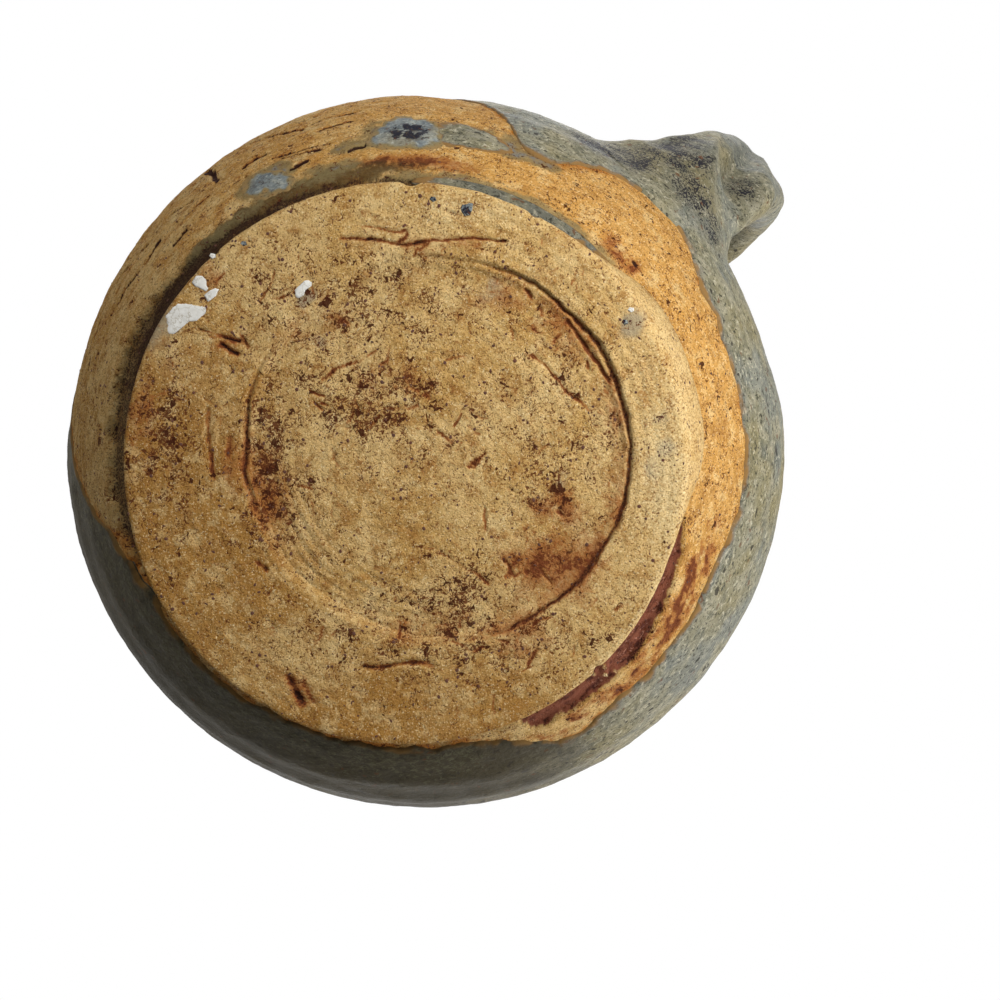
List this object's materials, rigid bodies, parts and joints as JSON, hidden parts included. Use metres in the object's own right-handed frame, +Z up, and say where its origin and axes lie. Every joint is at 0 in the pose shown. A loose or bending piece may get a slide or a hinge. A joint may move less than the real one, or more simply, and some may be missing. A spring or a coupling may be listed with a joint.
{
  "type": "stoneware pitcher",
  "caption": "Round-bellied stoneware pitcher with a pulled spout, a strap handle, a turned foot with a shallow recess, and ash glaze that stops short of the bare foot.",
  "frame": {"origin": "middle of the pitcher's outline seen from above, on the surface that it stands on", "axes": "+Z up through the mouth, +X towards the handle, the spout towards -X"},
  "size_m": [0.1418, 0.122, 0.1511],
  "materials": {
    "bare_stoneware": "unglazed, gritty, toasted by the fire",
    "ash_glaze": "satin grey-green ash glaze",
    "cobalt_glaze": "satin blue-grey splash"
  },
  "bodies": {
    "root": {"thrown_body": "bare_stoneware", "foot_disc": "bare_stoneware", "handle_strap": "ash_glaze", "lower_luting_coil": "ash_glaze", "upper_luting_coil": "ash_glaze", "outer_glaze": "ash_glaze", "liner_glaze": "ash_glaze", "glaze_splash_large": "cobalt_glaze", "glaze_splash_small": "cobalt_glaze"}
  },
  "joints": []
}
